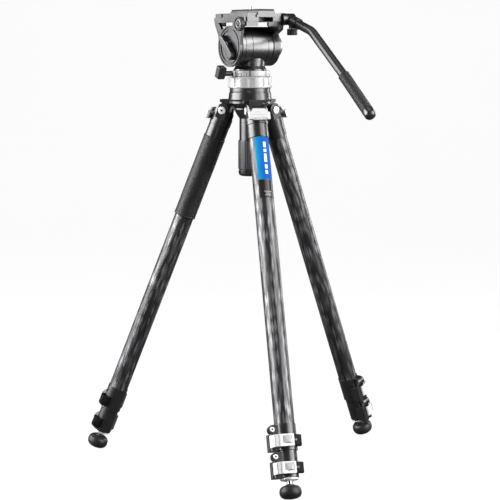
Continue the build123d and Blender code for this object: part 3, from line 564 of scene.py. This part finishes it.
def build_lever_plate(level, leg):
    """The stepped recess in the face of a flip lever, painted in the darker lever_shade as shade; a dark crescent
    painted as the shadow at the foot of the recess; and the two seams beside it.
    """
    matrix, face, bottom, top = lever_frame(level, leg)
    half = (top - bottom) / 2
    middle = (top + bottom) / 2
    body = f"{level}_flip_{leg}"
    outline = [(-10.2 * MM, 5.6 * MM - half), (-3.5 * MM, 3.4 * MM - half), (2.5 * MM, 3.4 * MM - half),
               (5.6 * MM, 5.6 * MM - half), (5.6 * MM, half - 2.6 * MM), (2.0 * MM, half - 2.6 * MM),
               (0.6 * MM, half - 1.0 * MM), (-3.4 * MM, half - 1.0 * MM), (-4.8 * MM, half - 2.6 * MM),
               (-10.2 * MM, half - 2.6 * MM)]
    plate = extruded(outline, -0.15 * MM, 0.15 * MM, 0.08 * MM)
    upright = Matrix(((0, 0, 1, face - 0.85 * MM), (1, 0, 0, 0), (0, 1, 0, middle), (0, 0, 0, 1)))
    piece(f"lever_recess_{level}_{leg}", plate, matrix @ upright, body, "lever_shade")
    # Painted shadow: a thin dark crescent sheet along the foot of the recess.
    left, right = RECESS_SHADOW_SPAN
    steps = [i / RECESS_SHADOW_STEPS for i in range(RECESS_SHADOW_STEPS + 1)]
    shadow_crescent = [(left + (right - left) * t, (3.6 + 1.2 * math.sin(math.pi * t)) * MM - half)
                for t in steps]
    shadow_crescent += [(right + (left - right) * t, (3.9 + 2.2 * math.sin(math.pi * t)) * MM - half)
                 for t in steps]
    rim = extruded(shadow_crescent, 0.0, 0.3 * MM)
    piece(f"lever_recess_shadow_{level}_{leg}", rim, matrix @ upright, body, "dark_ink_and_shade")
    seams = []
    for back, y in ((2.75, -21.2), (0.95, -15.6)):
        centre = (face - back * MM, y * MM, middle)
        seams.append(rounded_box((0.5 * MM, 0.55 * MM, top - bottom - 0.8 * MM), 0.15 * MM, centre, 1))
    piece(f"lever_seams_{level}_{leg}", merge(*seams), matrix, body, "dark_ink_and_shade")


def build_clamp_bolt(level, leg):
    """The silver socket screw in the clamp lugs of a lock's collar."""
    matrix, face = lever_frame(level, leg)[:2]
    lock_top = local_box(f"{level}_lock_{leg}", matrix)[1].z
    lug = face - LEVER_STANDOFF + CLAMP_BOLT_REACH
    place = facing(matrix, (CLAMP_BOLT_SEAT, -lug, lock_top - CLAMP_BOLT_DROP), (1, 0, 0))
    body = f"leg_{leg}" if level == "upper" else f"middle_{leg}"
    screw = socket_screw(4.15 * MM, 2.95 * MM)
    piece(f"clamp_bolt_{level}_{leg}", screw, place, body, f"silver_{leg}")


def flatten_on_floor(bm, matrix):
    """Presses the lowest points, seen in the row frame, flat on the floor."""
    inverse = matrix.inverted()
    for vert in bm.verts:
        world = matrix @ vert.co
        if world.z < 0.0:
            vert.co = inverse @ Vector((world.x, world.y, 0.0))


def build_foot(leg):
    """A rounded rubber puck with grip grooves on a threaded stud, under the silver ferrule of the tube."""
    matrix = LEG_FRAMES[leg]
    node = f"foot_{leg}"
    inverse = matrix.inverted()
    points = [inverse @ v.co for v in NODES[node].data.vertices]
    radius = max(math.hypot(p.x, p.y) for p in points)
    side = [p.z for p in points if math.hypot(p.x, p.y) > radius - 0.05 * MM]
    bottom, top = min(side) - 8.0 * MM, max(side) + 6.0 * MM
    half, middle = (top - bottom) / 2, (top + bottom) / 2
    profile = [(0.0, bottom)]
    for i in range(1, 40):
        angle = math.radians(-90 + 4.5 * i)
        across, up = math.cos(angle), math.sin(angle)
        r = (radius + 0.3 * MM) * across ** 0.62
        z = middle + half * math.copysign(abs(up) ** 0.86, up)
        groove = 0.35 * MM if i in (22, 25) else 0.0
        profile.append((r - groove, z))
    profile += [(7.0 * MM, top), (6.6 * MM, top + 0.9 * MM), (5.2 * MM, top + 1.2 * MM),
                (0.0, top + 1.2 * MM)]
    profile = [point for point in profile if point[0] > 6.9 * MM or point[1] < middle or point[1] >= top]
    puck = lathe(profile, 72)
    flatten_on_floor(puck, matrix)
    piece(f"foot_puck_{leg}", puck, matrix, f"lower_{leg}", "foot_rubber", [node], 50.0)
    rim = -stations(f"lower_lock_{leg}", leg)[1] - 0.25 * MM
    thick = 3.4 * MM
    base = rim - thick
    cap = [(0.0, base - 1.2 * MM), (8.6 * MM, base - 1.2 * MM), (9.2 * MM, base - 0.2 * MM),
           (13.4 * MM, base), (14.3 * MM, base + 0.8 * MM), (14.3 * MM, rim - 0.9 * MM),
           (13.6 * MM, rim), (0.0, rim)]
    piece(f"foot_ferrule_{leg}", lathe(cap, 64), matrix, f"lower_{leg}", f"silver_{leg}")
    start = top - 4 * MM
    turns = 7
    step = (base - start) / turns
    shank = [(0.0, start)]
    for i in range(turns):
        shank += [(4.4 * MM, start + step * i), (4.7 * MM, start + step * (i + 0.5))]
    shank += [(4.4 * MM, base), (0.0, base)]
    piece(f"foot_stud_{leg}", lathe(shank, 40), matrix, f"lower_{leg}", f"stud_{leg}",
          (), 60.0)


def build_sleeve():
    """The ribbed rubber sleeve: shallow rings, fat lips at both ends, slightly uneven all round."""
    matrix = LEG_FRAMES["left"]
    start, end = stations("leg_sleeve", "left")
    inner, outer = 16.05 * MM, 18.1 * MM
    profile = [(inner, -end), (outer - 0.4 * MM, -end), (outer + 0.25 * MM, -end + 0.6 * MM),
               (outer + 0.25 * MM, -end + 2.6 * MM), (outer - 0.2 * MM, -end + 3.4 * MM)]
    ribs = 46
    low, high = -end + 4.0 * MM, -start - 4.0 * MM
    for i in range(ribs):
        z = low + (high - low) * i / ribs
        step = (high - low) / ribs
        profile += [(outer - 0.35 * MM, z), (outer, z + step * 0.25), (outer, z + step * 0.75)]
    profile += [(outer - 0.2 * MM, -start - 3.4 * MM), (outer + 0.25 * MM, -start - 2.6 * MM),
                (outer + 0.25 * MM, -start - 0.6 * MM), (outer - 0.4 * MM, -start), (inner, -start)]

    def uneven(radius, height, angle):
        if radius < inner + 0.1 * MM:
            return radius
        wave = math.sin(3 * angle + height * 90) + 0.6 * math.sin(5 * angle - height * 160)
        return radius + 0.09 * MM * wave

    piece("sleeve", lathe(profile, 72, uneven), matrix, "leg_left", "sleeve_rubber",
          ["leg_sleeve"], 70.0)


def build_label():
    """The azure label with plain white bars along it, and a plain band with small marks below it."""
    matrix = LEG_FRAMES["near"]
    start = stations("leg_collar_near", "near")[1] + 0.6 * MM
    end = start + LABEL_LENGTH
    width = (LABEL_MIDDLE - LABEL_HALF, LABEL_MIDDLE + LABEL_HALF)
    sheet = curved_sheet(UPPER_TUBE_R + 0.02 * MM, 0.12 * MM, width, (-end, -start))
    piece("label", sheet, matrix, "leg_near", "label")
    bars = []
    at = start + 9.0 * MM
    for length, gap in ((9.0, 3.0), (5.0, 3.0), (14.0, 4.0), (7.0, 3.0), (6.0, 3.0)):
        span = (LABEL_MIDDLE - 0.12, LABEL_MIDDLE + 0.17)
        heights = (-at - length * MM, -at)
        bars.append(curved_sheet(UPPER_TUBE_R + 0.15 * MM, 0.05 * MM, span, heights, 8, 2))
        at += (length + gap) * MM
    piece("label_bars", merge(*bars), matrix, "leg_near", "white_ink")
    marks = []
    for i, half in enumerate((0.42, 0.30, 0.36)):
        z = end + (20.0 + 3.0 * i) * MM
        span = (LABEL_MIDDLE - half, LABEL_MIDDLE + half)
        marks.append(curved_sheet(UPPER_TUBE_R + 0.12 * MM, 0.05 * MM, span, (-z - 0.9 * MM, -z), 14, 1))
    piece("tube_marks", merge(*marks), matrix, "leg_near", "grey_ink")
    band = curved_sheet(UPPER_TUBE_R + 0.02 * MM, 0.08 * MM, width, (-end - 31 * MM, -end - 1 * MM))
    piece("tube_band", band, matrix, "leg_near", "band_film")


def build_latch_lines(leg):
    """Thin dark lines painted as the shade of the steps across the lower half of the angle latch's face."""
    matrix = LEG_FRAMES[leg]
    low, high = local_box(f"angle_latch_{leg}", matrix)
    lines = []
    for i, (left, right) in enumerate(((-9.5, 11.5), (-9.5, 11.5), (-12.5, 12.5))):
        z = low.z + (1.7 + 1.9 * i + (2.4 if i == 2 else 0.0)) * MM
        back = (1.4, 0.75, 0.05)[i] * MM
        size = (0.24 * MM, (right - left) * MM, 0.32 * MM)
        lines.append(rounded_box(size, 0.08 * MM, (high.x - back, (left + right) / 2 * MM, z), 1))
    piece(f"latch_shadow_lines_{leg}", merge(*lines), matrix, f"latch_{leg}", "dark_ink_and_shade")


def build_hinge_caps(leg):
    """A bright socket cap on each end of the leg's hinge pin."""
    matrix = LEG_FRAMES[leg]
    for side in (-1, 1):
        place = facing(matrix, (0, side * 16.1 * MM, 0), (0, side, 0))
        piece(f"hinge_cap_{'left' if side < 0 else 'right'}_{leg}", socket_screw(6.2 * MM, 2.4 * MM), place,
              f"leg_{leg}", f"silver_{leg}")


for leg_name in LEGS:
    for lock_level in ("upper", "lower"):
        build_lever_tab(lock_level, leg_name)
        build_lever_plate(lock_level, leg_name)
        build_clamp_bolt(lock_level, leg_name)
    build_foot(leg_name)
    build_hinge_caps(leg_name)
    build_latch_lines(leg_name)
build_sleeve()
build_label()


# ---------------------------------------------------------------- pieces on the head
def build_pad():
    """The rubber pad of the camera plate, with fine ribs across it and the screw slot left open."""
    low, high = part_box("plate_pad")
    base = high.z - 0.9 * MM
    strips = []
    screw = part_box("camera_screw")
    screw_y = (screw[0].y + screw[1].y) / 2
    slot = (screw_y - 16.5 * MM, screw_y + 16.5 * MM)
    count = 22
    step = (high.y - low.y) / count
    for i in range(count):
        y0 = low.y + step * i
        centre_y, depth = y0 + step / 2, step * 0.66
        if slot[0] < centre_y < slot[1]:
            width = high.x - 3.9 * MM
            for side in (-1, 1):
                centre = (side * (3.9 * MM + width / 2), centre_y, base + 0.45 * MM)
                strips.append(rounded_box((width, depth, 0.9 * MM), 0.25 * MM, centre, 2))
        else:
            size = (high.x - low.x, depth, 0.9 * MM)
            strips.append(rounded_box(size, 0.25 * MM, (0, centre_y, base + 0.45 * MM), 2))
    for y0, y1, x0, x1 in ((low.y, slot[0], low.x, high.x), (slot[1], high.y, low.x, high.x),
                           (slot[0], slot[1], low.x, -3.6 * MM), (slot[0], slot[1], 3.6 * MM, high.x)):
        size = (x1 - x0, y1 - y0, base - low.z + 0.2 * MM)
        strips.append(rounded_box(size, 0.1 * MM, ((x0 + x1) / 2, (y0 + y1) / 2, (low.z + base) / 2), 1))
    piece("camera_pad", merge(*strips), None, "plate", "pad_rubber", ["plate_pad"])


def build_plate_knob_face():
    """The bright ring and dark screw on the face of the plate lock knob."""
    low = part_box("plate_knob")[0]
    joint = JOINTS["plate_lock_turn"]
    place = axis_matrix((low.x, joint["pos_m"][1], joint["pos_m"][2]), (-1, 0, 0), (0, 0, 1))
    ring = lathe([(4.6 * MM, -1.3 * MM), (7.9 * MM, -1.3 * MM), (7.6 * MM, -0.5 * MM),
                  (7.0 * MM, -0.2 * MM), (5.3 * MM, -0.2 * MM), (4.6 * MM, -0.6 * MM)], 56)
    piece("plate_knob_ring", ring, place, "plate_lock", "knob_ring")
    place = place @ Matrix.Translation((0, 0, -0.2 * MM))
    piece("plate_knob_screw", socket_screw(3.6 * MM, 1.0 * MM), place, "plate_lock", "arm_black")


def build_grip():
    """The pan-arm grip: a fine-ribbed rubber sleeve with a glossy rounded cap."""
    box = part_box("arm_grip")
    radius = (box[1].x - box[0].x) / 2
    points = [v.co for v in NODES["arm_grip"].data.vertices]
    along = Vector((0.0, -68.0, -58.0)).normalized()
    x = (box[0].x + box[1].x) / 2
    across = Vector((0.0, along.z, -along.y))
    offset = sum(p.dot(across) for p in (max(points, key=lambda q: q.dot(across)),
                                         min(points, key=lambda q: q.dot(across)))) / 2
    first = min(p.dot(along) for p in points)
    start = Vector((x, 0, 0)) + across * offset + along * first
    place = axis_matrix(start, along, (1, 0, 0))
    length = max((p - start).dot(along) for p in points)
    bore = 7.35 * MM
    cap = 17.0 * MM
    profile = [(bore, 0.0), (radius - 0.9 * MM, 0.0), (radius, 0.8 * MM), (radius, 3.0 * MM)]
    rings = 40
    for i in range(rings):
        z = 3.4 * MM + (length - cap - 5.0 * MM) * i / rings
        step = (length - cap - 5.0 * MM) / rings
        profile += [(radius - 0.3 * MM, z), (radius, z + step * 0.3), (radius, z + step * 0.8)]
    profile += [(radius, length - cap - 0.8 * MM), (radius - 0.5 * MM, length - cap - 0.2 * MM),
                (bore, length - cap - 0.2 * MM)]
    piece("grip_sleeve", lathe(profile, 56), place, "arm", "grip_rubber", ["arm_grip"], 60.0)
    dome = [(0.0, length - cap), (radius - 0.4 * MM, length - cap), (radius, length - cap + 0.5 * MM)]
    for i in range(11):
        angle = math.radians(90 * i / 10)
        dome.append((radius * math.cos(angle) ** 0.8, length - 7.0 * MM + 7.0 * MM * math.sin(angle)))
    dome[-1] = (0.0, length)
    piece("grip_cap", lathe(dome, 56), place, "arm", "gloss_black", (), 60.0)


def build_handle_grip():
    """The ribbed barrel of the levelling handle, its lower end turned to a groove and a rounded foot."""
    low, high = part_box("level_handle")
    bottom, radius = low.z, high.x
    top = bottom + 59.0 * MM
    neck = radius - 1.5 * MM
    profile = [(0.0, bottom), (radius - 5.8 * MM, bottom), (radius - 2.6 * MM, bottom + 1.0 * MM),
               (radius - 0.6 * MM, bottom + 3.2 * MM), (radius + 0.1 * MM, bottom + 6.2 * MM),
               (radius + 0.1 * MM, bottom + 8.4 * MM), (radius - 0.8 * MM, bottom + 9.2 * MM),
               (radius - 0.8 * MM, bottom + 10.8 * MM), (radius + 0.1 * MM, bottom + 11.6 * MM)]
    ribbed = (bottom + 13.0 * MM, top - 3.0 * MM)
    profile += [(radius + 0.1 * MM, ribbed[0]), (radius + 0.1 * MM, ribbed[1]),
                (radius + 0.1 * MM, top - 1.2 * MM), (radius - 0.4 * MM, top + 0.1 * MM),
                (neck, top + 0.5 * MM), (0.0, top + 0.5 * MM)]

    def ribs(r, height, angle):
        inside = ribbed[0] - 1e-6 <= height <= ribbed[1] + 1e-6
        return r + (0.4 * MM * math.cos(44 * angle) if inside else 0.0)

    barrel = lathe(profile, 288, ribs)
    piece("handle_barrel", barrel, None, "handle", "handle_black", (), 40.0)


def build_pan_ring_marks():
    """Engraved index lines round the pan clamp ring."""
    low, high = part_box("pan_clamp_ring")
    radius = high.x
    height = high.z - low.z
    marks = []
    for i in range(72):
        angle = math.radians(5.0 * i + 2.5)
        if abs(math.degrees(angle) - 180.0) < 14.0:
            continue
        long_mark = i % 3 == 0
        tall = height * (0.5 if long_mark else 0.3)
        width = 0.012 if long_mark else 0.007
        spans = (low.z + 0.9 * MM, low.z + 0.9 * MM + tall)
        arc = (angle - width, angle + width)
        marks.append(curved_sheet(radius - 0.02 * MM, 0.05 * MM, arc, spans, 2, 1))
    piece("pan_scale", merge(*marks), None, "ball", "dark_ink_and_shade")


build_pad()
build_plate_knob_face()
build_grip()
build_handle_grip()
build_pan_ring_marks()


# ---------------------------------------------------------------- stage, light, camera
def look_along(obj, direction):
    obj.rotation_mode = "QUATERNION"
    obj.rotation_quaternion = Vector(direction).to_track_quat("-Z", "Y")


CAMERA_TURN = math.radians(-33.0)
CAMERA_DROP = math.radians(6.70)
CAMERA_DISTANCE = 2.819
CAMERA_HEIGHT = 0.6862
CAMERA_LENS = 122.6


def camera_back():
    """The level direction from the object to the camera."""
    return Vector((math.sin(CAMERA_TURN), -math.cos(CAMERA_TURN), 0.0))


def build_camera():
    data = bpy.data.cameras.new("camera")
    data.lens = CAMERA_LENS
    data.sensor_width = 36.0
    data.clip_end = 50.0
    camera = bpy.data.objects.new("camera", data)
    bpy.context.scene.collection.objects.link(camera)
    camera.location = camera_back() * CAMERA_DISTANCE + Vector((0, 0, CAMERA_HEIGHT))
    look_along(camera, -camera_back() * math.cos(CAMERA_DROP) - Vector((0, 0, math.sin(CAMERA_DROP))))
    bpy.context.scene.camera = camera


def softbox(name, turn, lift, distance, size, radiance, target=(0, 0, 0.42)):
    """A rectangular lamp aimed at the object; turn and lift are degrees from the camera's side of it."""
    turn, lift = math.radians(turn), math.radians(lift)
    back = camera_back()
    right = Vector((0, 0, 1)).cross(back)
    level = back * math.cos(turn) + right * math.sin(turn)
    data = bpy.data.lights.new(name, "AREA")
    data.shape = "RECTANGLE"
    data.size, data.size_y = size
    data.energy = radiance * math.pi * size[0] * size[1]
    lamp = bpy.data.objects.new(name, data)
    bpy.context.scene.collection.objects.link(lamp)
    lamp.location = Vector(target) + (level * math.cos(lift) + Vector((0, 0, math.sin(lift)))) * distance
    look_along(lamp, Vector(target) - lamp.location)


def build_lights():
    softbox("bank_left", -84, 20, 2.3, (2.2, 1.9), 11)
    softbox("bank_right", 58, 20, 2.5, (1.9, 2.6), 6.5)
    softbox("edge_right", 76, 8, 2.4, (0.7, 2.4), 6)
    softbox("rim_right", 130, 15, 2.3, (0.4, 1.9), 9)
    softbox("front_low", -6, -3, 2.4, (0.5, 0.5), 3)
    softbox("top", 0, 88, 1.9, (1.2, 1.2), 1.2)


def seen_by_camera(tree, shown, hidden):
    """One value or colour for what the camera sees directly, another for light and reflections."""
    path = tree.nodes.new("ShaderNodeLightPath")
    mix = tree.nodes.new("ShaderNodeMix")
    mix.data_type = "RGBA"
    tree.links.new(path.outputs["Is Camera Ray"], mix.inputs[0])
    mix.inputs[6].default_value = hidden
    mix.inputs[7].default_value = shown
    return mix.outputs[2]


def build_world():
    world = bpy.data.worlds.new("studio")
    bpy.context.scene.world = world
    world.use_nodes = True
    colour = seen_by_camera(world.node_tree, grey(1.0), grey(0.035))
    world.node_tree.links.new(colour, world.node_tree.nodes["Background"].inputs["Color"])


FLOOR_DROP = 0.0004  # below the contact patches of the feet, so that the faces don't coincide


def build_floor():
    """A plain white sweep: level under the object and rising far behind it."""
    bm = bmesh.new()
    back = -camera_back()
    side = Vector((0, 0, 1)).cross(back)
    lines = [(-4.0, 0.0), (2.0, 0.0), (3.0, 0.05), (3.7, 0.35), (4.1, 0.9), (4.3, 1.8), (4.3, 4.0)]
    rows = []
    for depth, height in lines:
        middle = back * depth + Vector((0, 0, height - FLOOR_DROP))
        rows.append([bm.verts.new(middle + side * w) for w in (-6, 6)])
    for low, high in zip(rows, rows[1:]):
        bm.faces.new((low[0], low[1], high[1], high[0]))
    floor = make_object("floor", bm)
    g = Graph("floor_paper")
    tone = g.noise(g.local(), 3.0, 4.0)
    g.set(Base_Color=g.mix(tone, grey(0.06), grey(0.08)), Roughness=0.9, Specular_IOR_Level=0.1)
    g.set(Emission_Color=seen_by_camera(g.tree, grey(0.93), grey(0.0)), Emission_Strength=1.0)
    floor.data.materials.append(g.material)


build_camera()
build_lights()
build_world()
build_floor()
bpy.context.scene.view_settings.view_transform = "Standard"
